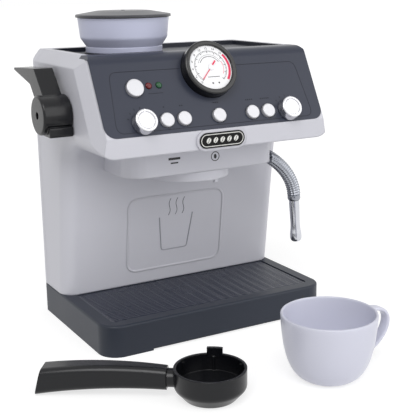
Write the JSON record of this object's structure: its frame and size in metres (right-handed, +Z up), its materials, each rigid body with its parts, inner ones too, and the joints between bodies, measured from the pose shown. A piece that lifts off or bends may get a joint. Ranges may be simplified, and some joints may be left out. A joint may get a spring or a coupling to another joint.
{
  "type": "toy coffee maker",
  "caption": "Toy espresso machine with slanted control panel, dial gauge, side lever, swinging steam wand, bean hopper with lid, drip tray, loose cup and portafilter.",
  "frame": {"origin": "on the floor under the middle of the machine's base", "axes": "+X to the right of someone facing the panel, +Y to the machine's back, +Z up"},
  "size_m": [0.2879, 0.2965, 0.2732],
  "materials": {
    "base_plastic": "fine satin texture",
    "drip_plastic": "matte",
    "screw_steel": "zinc plated",
    "inner_plastic": "matte",
    "cell_metal": "satin sleeve",
    "board": "solder mask",
    "housing_plastic": "satin moulded",
    "panel_plastic": "satin",
    "gauge_plastic": "gloss",
    "dial_print": "printed",
    "top_tray_plastic": "satin",
    "red_lamp": "translucent",
    "green_lamp": "translucent",
    "badge_plastic": "gloss",
    "lilac_plastic": "satin",
    "lid_plastic": "satin",
    "cup_plastic": "satin",
    "black_plastic": "satin",
    "wand_chrome": "vacuum plated plastic",
    "silver_plastic": "plated and satin"
  },
  "bodies": {
    "machine": {"base_tray": "base_plastic", "drip_tray_plate": "drip_plastic", "bottom_cover": "base_plastic", "bottom_cover_screws": "screw_steel", "battery_box": "inner_plastic", "battery_cells": "cell_metal", "battery_door": "base_plastic", "battery_door_screw": "screw_steel", "speaker": "inner_plastic", "housing_shell": "housing_plastic", "rear_cover": "housing_plastic", "rear_cover_screws": "screw_steel", "control_panel": "panel_plastic", "circuit_board": "board", "tact_switches": "inner_plastic", "knob_switches": "inner_plastic", "red_lamp": "red_lamp", "green_lamp": "green_lamp", "gauge_housing": "gauge_plastic", "gauge_dial": "dial_print", "top_tray": "top_tray_plastic", "group_head_box": "housing_plastic", "group_collar": "housing_plastic", "badge_backing": "housing_plastic", "badge_plate": "badge_plastic", "hopper_bowl": "lilac_plastic"},
    "power_button": {"power_button": "silver_plastic"},
    "button_far_left": {"button_far_left": "silver_plastic"},
    "button_left": {"button_left": "silver_plastic"},
    "button_centre": {"button_centre": "silver_plastic"},
    "button_right": {"button_right": "silver_plastic"},
    "button_far_right": {"button_far_right": "silver_plastic"},
    "knob_left": {"knob_left": "silver_plastic"},
    "knob_right": {"knob_right": "silver_plastic"},
    "lever": {"lever": "black_plastic", "lever_screw": "screw_steel", "lever_retainer": "inner_plastic"},
    "steam_wand": {"steam_wand": "wand_chrome", "steam_nozzle": "wand_chrome"},
    "hopper_lid": {"hopper_lid": "lid_plastic"},
    "cup": {"cup": "cup_plastic"},
    "portafilter": {"portafilter_head": "black_plastic", "portafilter_handle": "black_plastic"}
  },
  "joints": [
    {"name": "power_button_press", "type": "slide", "parent": "machine", "child": "power_button", "axis": [0, 0.8829, -0.4695], "range_m": [0, 0.0015], "stiffness_N_per_m": 200, "springref_m": -0.0005},
    {"name": "button_far_left_press", "type": "slide", "parent": "machine", "child": "button_far_left", "axis": [0, 0.8829, -0.4695], "range_m": [0, 0.0015], "stiffness_N_per_m": 200, "springref_m": -0.0005},
    {"name": "button_left_press", "type": "slide", "parent": "machine", "child": "button_left", "axis": [0, 0.8829, -0.4695], "range_m": [0, 0.0015], "stiffness_N_per_m": 200, "springref_m": -0.0005},
    {"name": "button_centre_press", "type": "slide", "parent": "machine", "child": "button_centre", "axis": [0, 0.8829, -0.4695], "range_m": [0, 0.0015], "stiffness_N_per_m": 200, "springref_m": -0.0005},
    {"name": "button_right_press", "type": "slide", "parent": "machine", "child": "button_right", "axis": [0, 0.8829, -0.4695], "range_m": [0, 0.0015], "stiffness_N_per_m": 200, "springref_m": -0.0005},
    {"name": "button_far_right_press", "type": "slide", "parent": "machine", "child": "button_far_right", "axis": [0, 0.8829, -0.4695], "range_m": [0, 0.0015], "stiffness_N_per_m": 200, "springref_m": -0.0005},
    {"name": "knob_left_turn", "type": "hinge", "parent": "machine", "child": "knob_left", "pos_m": [-0.068, -0.06947, 0.18887], "axis": [0, -0.8829, 0.4695], "range_deg": [-150, 150]},
    {"name": "knob_right_turn", "type": "hinge", "parent": "machine", "child": "knob_right", "pos_m": [0.068, -0.06947, 0.18887], "axis": [0, -0.8829, 0.4695], "range_deg": [-150, 150]},
    {"name": "lever_pull", "type": "hinge", "parent": "machine", "child": "lever", "pos_m": [-0.1085, -0.01, 0.193], "axis": [1, 0, 0], "range_deg": [0, 75]},
    {"name": "steam_wand_swing", "type": "hinge", "parent": "machine", "child": "steam_wand", "pos_m": [0.072, -0.033, 0.143], "axis": [1, 0, 0], "range_deg": [-40, 20]},
    {"name": "hopper_lid_lift", "type": "slide", "parent": "machine", "child": "hopper_lid", "axis": [0, 0, 1], "range_m": [0, 0.06]},
    {"name": "cup_lift", "type": "slide", "parent": "machine", "child": "cup", "axis": [0, 0, 1], "range_m": [0, 0.12]},
    {"name": "portafilter_lift", "type": "slide", "parent": "machine", "child": "portafilter", "axis": [0, 0, 1], "range_m": [0, 0.1]}
  ]
}
